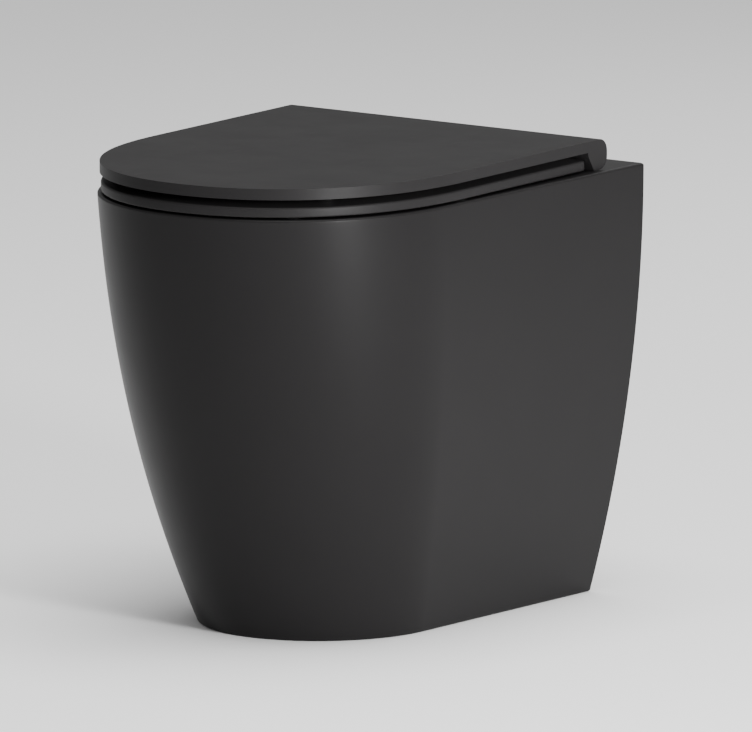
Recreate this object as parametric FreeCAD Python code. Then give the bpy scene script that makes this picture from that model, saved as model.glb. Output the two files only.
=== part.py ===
"""Back-to-wall toilet pan with a slim wrap-over soft-close seat and lid.

Millimetres. X runs across the pan, +Y points to the wall and +Z is up. The origin lies on the
floor in the middle of the pan's box. Depths are given as "back": the distance in front of the
wall plane. Heights of seat, lid and hinge pieces are given above the deck, the top of the pan.
"""

import FreeCAD, Part
import math
import os

from FreeCAD import Vector

# Pan casting
PAN_WIDTH = 360.0  # across the deck at the wall
PAN_DEPTH = 476.0  # wall plane to the nose of the rim
DECK_Z = 400.0  # floor to the top of the ceramic
FOOT_HALF_WIDTH = 121.5  # half width on the floor at the wall
FOOT_DEPTH = 365.5  # wall plane to the nose on the floor
RIM_STRAIGHT = 300.0  # where the sides start to curve into the nose, at the deck
FOOT_STRAIGHT = 253.0  # the same on the floor
SIDE_TAPER = 0.0357  # how fast the sides close towards the nose
SIDE_POWER = 2.0  # curve of the flanks from deck to floor
NOSE_POWER = 2.5  # curve of the nose from deck to floor
NOSE_LEAN = 0.485  # share of the nose's slope that is straight
WALL = 12.0  # ceramic thickness of skirt and deck
RIM_ROUND = 2.5  # rounding of the deck's outer edge

# Bowl: height above the floor, half width, half length and centre's back
BOWL_WALL = 11.0
BOWL_LEVELS = (
    (DECK_Z + 1.0, 139.0, 157.0, 283.0),
    (DECK_Z - 9.0, 132.5, 150.5, 283.0),
    (350.0, 130.0, 148.0, 282.0),
    (290.0, 119.0, 138.0, 278.0),
    (230.0, 96.0, 118.0, 268.0),
    (180.0, 68.0, 88.0, 253.0),
    (130.0, 48.0, 56.0, 238.0),
    (85.0, 40.0, 43.0, 229.0),
    (46.0, 28.0, 30.0, 226.0),
)

# Trap: centre line from the sump over the weir to the outlet
TRAP_R = 36.0
TRAP_WALL = 10.0
TRAP_BEND_R = 52.0
SUMP_BACK = 228.0
SUMP_Z = 70.0
TRAP_RUN = 45.0  # level run out of the sump
TRAP_RISE = 135.0  # length of the rising leg
TRAP_RISE_DEG = 75.0
OUTLET_Z = 180.0
OUTLET_R = 51.0
OUTLET_BORE_R = 40.0
OUTLET_BACK = 6.0  # the spigot's open end
OUTLET_LENGTH = 46.0

# Flush inlet and the splash shield inside the bowl
INLET_Z = 325.0
INLET_R = 27.5
INLET_WALL = 9.5
INLET_DEPTH = 45.0
FLUSHWAY_R = 20.0
SHIELD_HALF_WIDTH = 62.0
SHIELD_TOP_Z = 356.0
SHIELD_HEIGHT = 58.0
SHIELD_WALL = 8.0
SHIELD_GAP = 14.0  # between shield and bowl wall

# Concealed floor fixing
LUG_BACK = 150.0
LUG_LENGTH = 34.0
LUG_X = 91.0  # inner face of the lug
LUG_Z = 25.0  # height of the clamp screw
LUG_HEIGHT = 44.0
SLEEVE_R = 6.0
CLAMP_SCREW_R = 3.5
BRACKET_THICK = 4.0
BRACKET_WIDTH = 30.0
BRACKET_FOOT = 40.0
FLOOR_HOLE_X = 65.0
FLOOR_HOLE_R = 4.25

# Seat and lid
COVER_STRAIGHT = 266.0  # where the sides of seat and lid start to curve
COVER_POWERS = (2.12, 2.3)
SEAT_HALF_WIDTH = 168.5
SEAT_DEPTH = 475.8
LID_HALF_WIDTH = 170.5
LID_DEPTH = 475.5
SEAT_REAR = 76.5
SEAT_BOTTOM = 1.8
SEAT_EDGE_TOP = 10.8
SEAT_CROWN = 15.0
SEAT_SLOPE = 24.0  # plan width of the sloping edge
SEAT_HOLE_X = 112.0
SEAT_HOLE_Y = 133.0
SEAT_HOLE_BACK = 273.0
LID_BOTTOM = 18.0
LID_TOP = 28.2
LID_RECESS = 3.5
LID_BORDER = 14.0

# Hinge, one each side, mirrored
AXIS_BACK = 57.0
AXIS_UP = 12.0
HOOK_R = 11.3  # lower end of the lid's rear hook, round the axis
HOOK_CORNER_R = 12.0
BARREL_R = 8.5
SWING_R = 11.0  # free space round the axis inside the lid
FIXING_X = 77.5  # half of the seat fixing spacing
FIXING_BACK = 84.0
HOUSING_X0, HOUSING_X1 = 61.5, 94.5
HOUSING_FRONT = 104.0
HOUSING_TOP = 13.5
KNUCKLE_X0, KNUCKLE_X1 = 30.0, 61.0
KNUCKLE_R = 8.3
NOTCH_X0, NOTCH_X1 = 29.5, 95.0
PIN_R = 3.0
RUNNING_GAP = 0.05
CARTRIDGE_R = 5.5
CARTRIDGE_LENGTH = 29.0

# Quick-release post, its fixing through the deck, and the release button
POST_R = 7.5
POST_TOP = 10.5
POST_NECK_R = 6.2
NECK_LOW, NECK_HIGH = 4.6, 6.6
PLATE_THICK = 1.5
DECK_HOLE_R = 7.0
BOLT_R = 3.0
BUTTON_HALF_WIDTH = 7.0
BUTTON_LOW, BUTTON_HIGH = 3.4, 10.4
BUTTON_PROUD = 2.5
POCKET_DEPTH = 8.0
POCKET_GAP = 0.3
ROD_R = 1.5
SPRING_R = 2.4
CAP_BACK = 100.0  # the button cap's inner face


def at(x, back, z):
    """A point, from its distance in front of the wall plane."""
    return Vector(x, PAN_DEPTH / 2 - back, z)


def mix(start, end, share):
    return start + (end - start) * share


def box(x0, x1, back0, back1, z0, z1):
    """A block between two x, two back and two z values."""
    return Part.makeBox(x1 - x0, back1 - back0, z1 - z0, at(x0, back1, z0))


def cylinder(radius, start, end):
    """A round bar from one point to another."""
    axis = end - start
    return Part.makeCylinder(radius, axis.Length, start, axis)


def bar_x(radius, x0, x1, back, z):
    return cylinder(radius, at(x0, back, z), at(x1, back, z))


def post_z(radius, x, back, z0, z1):
    return cylinder(radius, at(x, back, z0), at(x, back, z1))


def mirrored(shape):
    """The same piece on the other side of the middle plane."""
    return shape.mirror(Vector(0, 0, 0), Vector(1, 0, 0))


def both(shape):
    """A piece and its mirror image, as separate solids of one node."""
    return Part.makeCompound([shape, mirrored(shape)])


def save(name, shape):
    shape.exportStep("parts/" + name + ".step")


# ---- the D-shaped outline that pan, seat and lid share


def half_outline(half_width, taper, straight, depth, powers, start):
    """Plan points (x, back) down one side from start, then round to the nose."""
    side_steps = 8
    nose_steps = 14
    points = []
    for i in range(side_steps):
        back = mix(start, straight, i / side_steps)
        points.append((half_width - taper * back, back))
    for i in range(nose_steps + 1):
        turn = math.pi / 2 * i / nose_steps
        back = mix(straight, depth, math.sin(turn) ** (2 / powers[1]))
        squeeze = max(0.0, math.cos(turn)) ** (2 / powers[0])
        points.append(((half_width - taper * back) * squeeze, back))
    return points


def full_outline(half):
    """Both sides of a half outline, from the right rear round the nose to the left rear."""
    return half + [(-x, back) for x, back in reversed(half[:-1])]


def pan_outline(z, inset, start):
    """Plan outline of the pan's skin at a height, moved in by inset."""
    drop = max(0.0, 1 - z / DECK_Z)
    half_width = mix(PAN_WIDTH / 2, FOOT_HALF_WIDTH, drop**SIDE_POWER)
    lean = NOSE_LEAN * drop + (1 - NOSE_LEAN) * drop**NOSE_POWER
    depth = mix(PAN_DEPTH, FOOT_DEPTH, lean)
    straight = mix(RIM_STRAIGHT, FOOT_STRAIGHT, lean)
    powers = (mix(2.13, 2.0, drop), mix(2.2, 2.0, drop))
    half = half_outline(half_width - inset, SIDE_TAPER, straight, depth - inset, powers, start)
    return full_outline(half)


def skin_solid(inset, z0, z1, start):
    """Solid under the pan's skin, closed by a flat top, floor and wall side."""
    rows = 13
    grid = []
    for i in range(rows):
        z = mix(z0, z1, i / (rows - 1))
        grid.append([at(x, back, z) for x, back in pan_outline(z, inset, start)])
    surface = Part.BSplineSurface()
    surface.interpolate(grid)
    skin = surface.toShape()
    corner = [grid[0][0], grid[0][-1], grid[-1][-1], grid[-1][0]]
    floor_line = Part.makeLine(corner[0], corner[1])
    top_line = Part.makeLine(corner[2], corner[3])
    flat = [e for e in skin.Edges if e.BoundBox.ZLength < 0.001]
    floor_edge = min(flat, key=lambda e: e.BoundBox.ZMin)
    top_edge = max(flat, key=lambda e: e.BoundBox.ZMin)
    upright = [e for e in skin.Edges if e.BoundBox.ZLength > 1]
    faces = [
        skin,
        Part.Face(Part.Wire(Part.__sortEdges__([floor_edge, floor_line]))),
        Part.Face(Part.Wire(Part.__sortEdges__([top_edge, top_line]))),
        Part.Face(Part.Wire(Part.__sortEdges__(upright + [floor_line, top_line]))),
    ]
    solid = Part.Solid(Part.Shell(faces))
    if solid.Volume < 0:
        solid.reverse()
    return solid


def plan_prism(half_width, depth, start, z0, z1):
    """Upright prism on the outline of seat and lid."""
    half = half_outline(half_width, 0.0, COVER_STRAIGHT, depth, COVER_POWERS, start)
    points = [at(x, back, z0) for x, back in full_outline(half)]
    curve = Part.BSplineCurve()
    curve.interpolate(points)
    wire = Part.Wire([curve.toShape(), Part.makeLine(points[-1], points[0])])
    return Part.Face(wire).extrude(Vector(0, 0, z1 - z0))


def plan_frustum(half_width, depth, start, z0, slope, z1):
    """The same outline drawn in by slope between two heights."""
    wires = []
    for inset, z in ((0.0, z0), (slope, z1)):
        size = (half_width - inset, 0.0, COVER_STRAIGHT, depth - inset)
        half = half_outline(*size, COVER_POWERS, start + inset)
        points = [at(x, back, z) for x, back in full_outline(half)]
        curve = Part.BSplineCurve()
        curve.interpolate(points)
        wires.append(Part.Wire([curve.toShape(), Part.makeLine(points[-1], points[0])]))
    return Part.makeLoft(wires, True, True)


def oval(half_x, half_y, back, z):
    """Level ellipse round a centre on the middle plane."""
    if half_y >= half_x:
        curve = Part.Ellipse(at(0, back - half_y, z), at(half_x, back, z), at(0, back, z))
    else:
        curve = Part.Ellipse(at(half_x, back, z), at(0, back - half_y, z), at(0, back, z))
    return Part.Wire(curve.toShape())


# ---- pan casting


def bowl_solid(grow):
    """The bowl's hollow, or with grow its outside."""
    wires = []
    for z, half_x, half_y, back in BOWL_LEVELS:
        wires.append(oval(half_x + grow, half_y + grow, back, z - grow))
    return Part.makeLoft(wires, True, False)


def rounded_path(points, radii):
    """Straight runs in the middle plane, joined by tangent arcs. Points are (back, z)."""
    vertices = [at(0, back, z) for back, z in points]
    edges = []
    here = vertices[0]
    for before, corner, after, radius in zip(vertices, vertices[1:], vertices[2:], radii):
        way_in = (corner - before).normalize()
        way_out = (after - corner).normalize()
        turn = math.acos(max(-1.0, min(1.0, way_in.dot(way_out))))
        reach = radius * math.tan(turn / 2)
        start = corner - way_in * reach
        end = corner + way_out * reach
        to_centre = (way_out - way_in).normalize()
        middle = corner + to_centre * (radius / math.cos(turn / 2) - radius)
        edges.append(Part.makeLine(here, start))
        edges.append(Part.Arc(start, middle, end).toShape())
        here = end
    edges.append(Part.makeLine(here, vertices[-1]))
    return Part.Wire(edges)


def trap_tube(radius):
    """Round tube from the sump over the weir to the outlet's level."""
    rise = math.radians(TRAP_RISE_DEG)
    knee = SUMP_BACK - TRAP_RUN
    crown_back = knee - TRAP_RISE * math.cos(rise)
    crown_z = SUMP_Z + TRAP_RISE * math.sin(rise)
    fall = math.radians(12.0)
    level_back = crown_back - (crown_z - OUTLET_Z) / math.tan(fall)
    points = [
        (SUMP_BACK, SUMP_Z),
        (knee, SUMP_Z),
        (crown_back, crown_z),
        (level_back, OUTLET_Z),
        (OUTLET_BACK + OUTLET_LENGTH - 8.0, OUTLET_Z),
    ]
    path = rounded_path(points, (TRAP_BEND_R, TRAP_BEND_R, TRAP_BEND_R))
    ring = Part.makeCircle(radius, at(0, SUMP_BACK, SUMP_Z), Vector(0, 1, 0))
    return path.makePipeShell([Part.Wire(ring)], True, True)


def splash_shield():
    """Ledge and curtain inside the bowl's rear wall that turn the flush to both sides."""
    z, half_x, half_y, centre = BOWL_LEVELS[2]
    low = SHIELD_TOP_Z - SHIELD_HEIGHT
    outer = Part.Face(oval(half_x + 6, half_y + 6, centre, low)).extrude(Vector(0, 0, SHIELD_HEIGHT))
    shrink = SHIELD_GAP + SHIELD_WALL
    inner = Part.Face(oval(half_x - shrink, half_y - shrink, centre, low - 1))
    inner = inner.extrude(Vector(0, 0, SHIELD_HEIGHT + 2))
    gap_out = Part.Face(oval(half_x + 7, half_y + 7, centre, low - 1))
    gap_out = gap_out.extrude(Vector(0, 0, SHIELD_HEIGHT + 1 - SHIELD_WALL))
    curtain = Part.Face(oval(half_x - SHIELD_GAP, half_y - SHIELD_GAP, centre, low - 2))
    curtain = curtain.extrude(Vector(0, 0, SHIELD_HEIGHT + 3))
    reach = box(-SHIELD_HALF_WIDTH, SHIELD_HALF_WIDTH, 100, 200, low - 3, SHIELD_TOP_Z + 3)
    return outer.cut(inner).cut(gap_out.cut(curtain)).common(reach)


def floor_lug(side):
    """Block inside the skirt with a blind socket for the clamp screw."""
    x0, x1 = sorted((side * LUG_X, side * (FOOT_HALF_WIDTH - 6)))
    half = LUG_LENGTH / 2
    return box(x0, x1, LUG_BACK - half, LUG_BACK + half, 0, LUG_HEIGHT)


def pan_casting():
    outside = skin_solid(0.0, 0.0, DECK_Z, 0.0)
    rim_edges = [
        e
        for e in outside.Edges
        if e.BoundBox.ZMin > DECK_Z - 1 and e.BoundBox.YLength > 10
    ]
    outside = outside.makeFillet(RIM_ROUND, rim_edges)
    body = outside.cut(skin_solid(WALL, -6.0, DECK_Z - WALL, -6.0))
    bowl = bowl_solid(BOWL_WALL).common(box(-200, 200, 0, PAN_DEPTH, 0, DECK_Z))
    body = body.fuse(bowl)
    body = body.fuse(trap_tube(TRAP_R + TRAP_WALL))
    outlet_start = at(0, OUTLET_BACK, OUTLET_Z)
    outlet_end = at(0, OUTLET_BACK + OUTLET_LENGTH, OUTLET_Z)
    body = body.fuse(cylinder(OUTLET_R, outlet_start, outlet_end))
    inlet_start = at(0, OUTLET_BACK, INLET_Z)
    bowl_rear = at(0, 152.0, INLET_Z)
    body = body.fuse(cylinder(INLET_R + INLET_WALL, inlet_start, bowl_rear))
    for side in (-1, 1):
        body = body.fuse(floor_lug(side))
    body = body.cut(bowl_solid(0.0))
    body = body.cut(trap_tube(TRAP_R))
    body = body.cut(cylinder(OUTLET_BORE_R, outlet_start, outlet_end))
    inlet_floor = at(0, OUTLET_BACK + INLET_DEPTH, INLET_Z)
    body = body.cut(cylinder(INLET_R, inlet_start, inlet_floor))
    body = body.cut(cylinder(FLUSHWAY_R, inlet_floor, bowl_rear))
    body = body.fuse(splash_shield())
    for side in (-1, 1):
        body = body.cut(post_z(DECK_HOLE_R, side * FIXING_X, FIXING_BACK, DECK_Z - 20, DECK_Z + 1))
        socket_end = side * (FOOT_HALF_WIDTH - 14)
        body = body.cut(bar_x(SLEEVE_R, side * (LUG_X - 1), socket_end, LUG_BACK, LUG_Z))
    return body.removeSplitter()


# ---- concealed floor fixing


def floor_bracket():
    """Right-hand angle: foot on the floor, upright against the lug."""
    half = BRACKET_WIDTH / 2
    upright_x = LUG_X - BRACKET_THICK
    foot = box(LUG_X - BRACKET_FOOT, LUG_X, LUG_BACK - half, LUG_BACK + half, 0, BRACKET_THICK)
    upright = box(upright_x, LUG_X, LUG_BACK - half, LUG_BACK + half, 0, LUG_HEIGHT)
    rounding = [e for e in upright.Edges if e.BoundBox.XLength > 3 and e.BoundBox.ZMin > 10]
    body = foot.fuse(upright.makeFillet(8.0, rounding))
    body = body.cut(post_z(FLOOR_HOLE_R, FLOOR_HOLE_X, LUG_BACK, -1, BRACKET_THICK + 1))
    return body.cut(bar_x(CLAMP_SCREW_R + 0.5, upright_x - 1, LUG_X + 1, LUG_BACK, LUG_Z))


def clamp_screw():
    head = bar_x(7.0, LUG_X - BRACKET_THICK - 5.0, LUG_X - BRACKET_THICK, LUG_BACK, LUG_Z)
    shank = bar_x(CLAMP_SCREW_R, LUG_X - BRACKET_THICK - 1, LUG_X + 14, LUG_BACK, LUG_Z)
    drive = bar_x(3.0, LUG_X - BRACKET_THICK - 6.0, LUG_X - BRACKET_THICK - 2.0, LUG_BACK, LUG_Z)
    return head.fuse(shank).cut(drive)


def clamp_sleeve():
    """Nylon sleeve in the lug's socket."""
    sleeve = bar_x(SLEEVE_R, LUG_X, LUG_X + 16, LUG_BACK, LUG_Z)
    return sleeve.cut(bar_x(CLAMP_SCREW_R, LUG_X - 1, LUG_X + 14, LUG_BACK, LUG_Z))


# ---- seat fixing through the deck


def base_plate():
    """Stainless disc under each hinge housing."""
    disc = post_z(16.0, FIXING_X, FIXING_BACK, DECK_Z, DECK_Z + PLATE_THICK)
    return disc.cut(post_z(BOLT_R, FIXING_X, FIXING_BACK, DECK_Z - 1, DECK_Z + 3))


def seat_post():
    """Mushroom post with a neck for the latch clip and a counterbore for the bolt."""
    low = DECK_Z + PLATE_THICK
    post = post_z(POST_R, FIXING_X, FIXING_BACK, low, DECK_Z + POST_TOP)
    ring = post_z(POST_R + 1, FIXING_X, FIXING_BACK, DECK_Z + NECK_LOW, DECK_Z + NECK_HIGH)
    neck = post_z(POST_NECK_R, FIXING_X, FIXING_BACK, DECK_Z + NECK_LOW, DECK_Z + NECK_HIGH)
    post = post.cut(ring.cut(neck))
    top = [e for e in post.Edges if e.BoundBox.ZMin > DECK_Z + POST_TOP - 0.01]
    post = post.makeChamfer(1.2, top)
    post = post.cut(post_z(5.2, FIXING_X, FIXING_BACK, DECK_Z + 5.5, DECK_Z + POST_TOP + 1))
    return post.cut(post_z(BOLT_R, FIXING_X, FIXING_BACK, DECK_Z, DECK_Z + 6))


def top_fix_bolt():
    head = post_z(5.0, FIXING_X, FIXING_BACK, DECK_Z + 5.5, DECK_Z + 10.0)
    shank = post_z(BOLT_R, FIXING_X, FIXING_BACK, DECK_Z - 46, DECK_Z + 6)
    drive = Part.makePolygon([
        at(FIXING_X + 2.5 * math.cos(k * math.pi / 3), FIXING_BACK + 2.5 * math.sin(k * math.pi / 3), DECK_Z + 7.5)
        for k in range(7)
    ])
    return head.fuse(shank).cut(Part.Face(drive).extrude(Vector(0, 0, 4)))


def expander_sleeve():
    """Rubber sleeve that swells under the deck when the bolt is tightened."""
    upper = post_z(DECK_HOLE_R - 0.2, FIXING_X, FIXING_BACK, DECK_Z - WALL - 1, DECK_Z)
    profile = [(DECK_HOLE_R - 0.2, 13.0), (9.5, 17.0), (9.5, 25.0), (6.4, 32.0)]
    points = [at(FIXING_X, FIXING_BACK, DECK_Z - 12.9)]
    points += [at(FIXING_X + r, FIXING_BACK, DECK_Z - drop) for r, drop in profile]
    points += [at(FIXING_X, FIXING_BACK, DECK_Z - 32.0), points[0]]
    centre = at(FIXING_X, FIXING_BACK, 0)
    bulge = Part.Face(Part.makePolygon(points)).revolve(centre, Vector(0, 0, 1), 360)
    sleeve = upper.fuse(bulge)
    return sleeve.cut(post_z(BOLT_R, FIXING_X, FIXING_BACK, DECK_Z - 40, DECK_Z + 1))


def expander_nut():
    nut = post_z(6.4, FIXING_X, FIXING_BACK, DECK_Z - 42, DECK_Z - 32)
    return nut.cut(post_z(BOLT_R, FIXING_X, FIXING_BACK, DECK_Z - 47, DECK_Z - 31))


# ---- hinge


def hinge_housing():
    """Right-hand housing: barrel on the axis, foot, socket for the post and button pocket."""
    axis_z = DECK_Z + AXIS_UP
    floor_z = DECK_Z + PLATE_THICK + 0.1
    barrel = bar_x(BARREL_R, HOUSING_X0, HOUSING_X1, AXIS_BACK, axis_z)
    front = box(HOUSING_X0, HOUSING_X1, AXIS_BACK, HOUSING_FRONT, floor_z, DECK_Z + HOUSING_TOP)
    nose = [e for e in front.Edges if e.BoundBox.ZLength > 5 and e.BoundBox.YMax < at(0, 100, 0).y]
    front = front.makeFillet(5.0, nose)
    foot = box(HOUSING_X0, HOUSING_X1, AXIS_BACK - 3.0, AXIS_BACK + 1, floor_z, axis_z)
    body = barrel.fuse(front).fuse(foot)
    socket = post_z(POST_R + 0.1, FIXING_X, FIXING_BACK, floor_z - 1, DECK_Z + 11.0)
    body = body.cut(socket)
    body = body.cut(bar_x(PIN_R, HOUSING_X0 - 1, HOUSING_X1 + 1, AXIS_BACK, axis_z))
    half = BUTTON_HALF_WIDTH + POCKET_GAP
    low = DECK_Z + BUTTON_LOW - POCKET_GAP
    high = DECK_Z + BUTTON_HIGH + POCKET_GAP
    pocket_back = HOUSING_FRONT - POCKET_DEPTH
    body = body.cut(box(FIXING_X - half, FIXING_X + half, pocket_back, 110, low, high))
    rod_z = DECK_Z + (NECK_LOW + NECK_HIGH) / 2
    body = body.cut(cylinder(ROD_R + 0.3, at(FIXING_X, 88, rod_z), at(FIXING_X, 98, rod_z)))
    slot_low = DECK_Z + NECK_LOW
    slot_high = DECK_Z + NECK_HIGH
    slot = box(FIXING_X - 11, FIXING_X + 11, 75, 94, slot_low, slot_high)
    return body.cut(slot)


def hinge_pin():
    return bar_x(PIN_R, KNUCKLE_X0 + 2, NOTCH_X1 + CARTRIDGE_LENGTH, AXIS_BACK, DECK_Z + AXIS_UP)


def latch_clip():
    """U of spring wire round the post's neck. Its drawn-in tips meet the button's rod."""
    wire_r = 0.8
    leg_x = POST_NECK_R + wire_r
    z = DECK_Z + (NECK_LOW + NECK_HIGH) / 2
    left = [at(FIXING_X - x, back, z) for x, back in ((2.4, 92.6), (leg_x, 87.0), (leg_x, FIXING_BACK))]
    right = [at(FIXING_X + x, back, z) for x, back in ((leg_x, FIXING_BACK), (leg_x, 87.0), (2.4, 92.6))]
    turn = Part.Arc(left[-1], at(FIXING_X, FIXING_BACK - leg_x, z), right[0])
    legs = [Part.makeLine(a, b) for a, b in zip(left, left[1:])]
    other_legs = [Part.makeLine(a, b) for a, b in zip(right, right[1:])]
    path = Part.Wire(legs + [turn.toShape()] + other_legs)
    ring = Part.makeCircle(wire_r, left[0], left[1] - left[0])
    return path.makePipeShell([Part.Wire(ring)], True, True, 2)


def release_button():
    """Push button in the housing's front, with the rod that opens the clip."""
    low = DECK_Z + BUTTON_LOW
    high = DECK_Z + BUTTON_HIGH
    x0 = FIXING_X - BUTTON_HALF_WIDTH
    x1 = FIXING_X + BUTTON_HALF_WIDTH
    cap = box(x0, x1, CAP_BACK, HOUSING_FRONT + BUTTON_PROUD, low, high)
    front = [e for e in cap.Edges if e.BoundBox.YMax < at(0, HOUSING_FRONT + 1, 0).y]
    cap = cap.makeFillet(1.2, front)
    z = DECK_Z + (NECK_LOW + NECK_HIGH) / 2
    rod = cylinder(ROD_R, at(FIXING_X, 95.0, z), at(FIXING_X, CAP_BACK + 2, z))
    return cap.fuse(rod)


def button_spring():
    """Envelope of the small compression spring round the button's rod."""
    z = DECK_Z + (NECK_LOW + NECK_HIGH) / 2
    start = at(FIXING_X, HOUSING_FRONT - POCKET_DEPTH, z)
    end = at(FIXING_X, CAP_BACK, z)
    return cylinder(SPRING_R, start, end).cut(cylinder(SPRING_R - 0.6, start, end))


def cartridge(x0):
    """Bush or rotary damper: a round cartridge bored for the hinge pin."""
    z = DECK_Z + AXIS_UP
    body = bar_x(CARTRIDGE_R, x0, x0 + CARTRIDGE_LENGTH, AXIS_BACK, z)
    bore = bar_x(PIN_R + RUNNING_GAP, x0 - 1, x0 + CARTRIDGE_LENGTH + 1, AXIS_BACK, z)
    return body.cut(bore)


# ---- seat


def seat_ring():
    low = DECK_Z + SEAT_BOTTOM
    edge = DECK_Z + SEAT_EDGE_TOP
    crown = DECK_Z + SEAT_CROWN
    base = plan_prism(SEAT_HALF_WIDTH, SEAT_DEPTH, SEAT_REAR, low, edge)
    dome = plan_frustum(SEAT_HALF_WIDTH, SEAT_DEPTH, SEAT_REAR, edge, SEAT_SLOPE, crown)
    body = base.fuse(dome)
    hole = Part.Face(oval(SEAT_HOLE_X, SEAT_HOLE_Y, SEAT_HOLE_BACK, low - 1))
    body = body.cut(hole.extrude(Vector(0, 0, 30)))
    axis_z = DECK_Z + AXIS_UP
    for side in (-1, 1):
        x0, x1 = sorted((side * KNUCKLE_X0, side * KNUCKLE_X1))
        body = body.fuse(bar_x(KNUCKLE_R, x0, x1, AXIS_BACK, axis_z))
        body = body.fuse(box(x0, x1, AXIS_BACK, SEAT_REAR + 4, low, edge - 0.3))
        n0, n1 = sorted((side * (HOUSING_X0 - 0.5), side * (HOUSING_X1 + 0.5)))
        body = body.cut(box(n0, n1, SEAT_REAR - 1, HOUSING_FRONT + 5, low - 1, crown + 1))
        bore_end = side * (KNUCKLE_X1 - CARTRIDGE_LENGTH)
        body = body.cut(bar_x(CARTRIDGE_R, side * (KNUCKLE_X1 + 1), bore_end, AXIS_BACK, axis_z))
        body = body.cut(bar_x(PIN_R + 0.5, bore_end, side * (KNUCKLE_X0 + 1), AXIS_BACK, axis_z))
    return body.removeSplitter()


def rim_spot(degrees):
    """A place on the middle line of the rim, counted from the side towards the nose."""
    turn = math.radians(degrees)
    return 152.0 * math.cos(turn), 282.0 + 168.0 * math.sin(turn)


def seat_buffers():
    solids = []
    for degrees in (55.0, -10.0):
        x, back = rim_spot(degrees)
        pad = post_z(8.0, x, back, DECK_Z + 0.1, DECK_Z + SEAT_BOTTOM)
        solids += [pad, mirrored(pad)]
    return Part.makeCompound(solids)


# ---- lid


def hook_profile():
    """Side view of the lid's rear: slab, rounded top corner and hook down to the axis."""
    z = DECK_Z
    slab_front = 130.0
    rear = AXIS_BACK - HOOK_R
    corner_back = rear + HOOK_CORNER_R
    corner_z = z + LID_TOP - HOOK_CORNER_R
    diagonal = math.sqrt(0.5)
    edges = [
        Part.makeLine(at(0, slab_front, z + LID_TOP), at(0, corner_back, z + LID_TOP)),
        Part.Arc(
            at(0, corner_back, z + LID_TOP),
            at(0, corner_back - HOOK_CORNER_R * diagonal, corner_z + HOOK_CORNER_R * diagonal),
            at(0, rear, corner_z),
        ).toShape(),
        Part.makeLine(at(0, rear, corner_z), at(0, rear, z + AXIS_UP)),
        Part.Arc(
            at(0, rear, z + AXIS_UP),
            at(0, AXIS_BACK - HOOK_R * diagonal, z + AXIS_UP - HOOK_R * diagonal),
            at(0, AXIS_BACK, z + AXIS_UP - HOOK_R),
        ).toShape(),
        Part.makeLine(at(0, AXIS_BACK, z + 0.7), at(0, 61.0, z + 0.7)),
        Part.Arc(at(0, 61.0, z + 0.7), at(0, 65.6, z + 2.1), at(0, 69.0, z + 5.6)).toShape(),
        Part.makeLine(at(0, 69.0, z + 5.6), at(0, 74.5, z + 13.0)),
        Part.Arc(at(0, 74.5, z + 13.0), at(0, 78.1, z + 16.6), at(0, 83.0, z + 18.0)).toShape(),
        Part.makeLine(at(0, 83.0, z + LID_BOTTOM), at(0, slab_front, z + LID_BOTTOM)),
        Part.makeLine(at(0, slab_front, z + LID_BOTTOM), at(0, slab_front, z + LID_TOP)),
    ]
    return Part.Face(Part.Wire(edges))


def lid_shell():
    low = DECK_Z + LID_BOTTOM
    top = DECK_Z + LID_TOP
    axis_z = DECK_Z + AXIS_UP
    slab = plan_prism(LID_HALF_WIDTH, LID_DEPTH, 125.0, low, top)
    hook = hook_profile().extrude(Vector(2 * LID_HALF_WIDTH, 0, 0))
    hook.translate(Vector(-LID_HALF_WIDTH, 0, 0))
    hook = hook.common(plan_prism(LID_HALF_WIDTH, LID_DEPTH, 45.0, DECK_Z, top + 1))
    body = slab.fuse(hook)
    border = (LID_HALF_WIDTH - LID_BORDER, LID_DEPTH - LID_BORDER)
    recess = plan_prism(*border, 112.0, low - 1, low + LID_RECESS)
    body = body.cut(recess)
    for side in (-1, 1):
        x0, x1 = sorted((side * NOTCH_X0, side * NOTCH_X1))
        body = body.cut(bar_x(SWING_R, x0, x1, AXIS_BACK, axis_z))
        body = body.cut(box(x0, x1, 40, 54, DECK_Z - 1, DECK_Z + 18))
        body = body.cut(box(x0, x1, 50, 108, DECK_Z - 1, axis_z))
        body = body.cut(box(x0, x1, AXIS_BACK, 108, DECK_Z - 1, low + 0.2))
        bore_end = side * (NOTCH_X1 + CARTRIDGE_LENGTH)
        body = body.cut(bar_x(CARTRIDGE_R, side * NOTCH_X0, bore_end, AXIS_BACK, axis_z))
    return body.removeSplitter()


def lid_buffers():
    solids = []
    for degrees in (42.0, -28.0):
        x, back = rim_spot(degrees)
        x *= 0.94
        pad = post_z(6.0, x, back, DECK_Z + SEAT_CROWN + 0.1, DECK_Z + LID_BOTTOM + LID_RECESS)
        solids += [pad, mirrored(pad)]
    return Part.makeCompound(solids)


os.makedirs("parts", exist_ok=True)

save("pan_casting", pan_casting())

save("floor_bracket_right", floor_bracket())
save("floor_bracket_left", mirrored(floor_bracket()))
save("bracket_clamp_screws", both(clamp_screw()))
save("clamp_screw_sleeves", both(clamp_sleeve()))

save("seat_base_plates", both(base_plate()))
save("seat_posts", both(seat_post()))
save("top_fix_bolts", both(top_fix_bolt()))
save("expander_sleeves", both(expander_sleeve()))
save("expander_nuts", both(expander_nut()))

save("hinge_housing_right", hinge_housing())
save("hinge_housing_left", mirrored(hinge_housing()))
save("hinge_pins", both(hinge_pin()))
save("latch_clips", both(latch_clip()))
save("release_button_right", release_button())
save("release_button_left", mirrored(release_button()))
save("button_spring_right", button_spring())
save("button_spring_left", mirrored(button_spring()))

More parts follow.
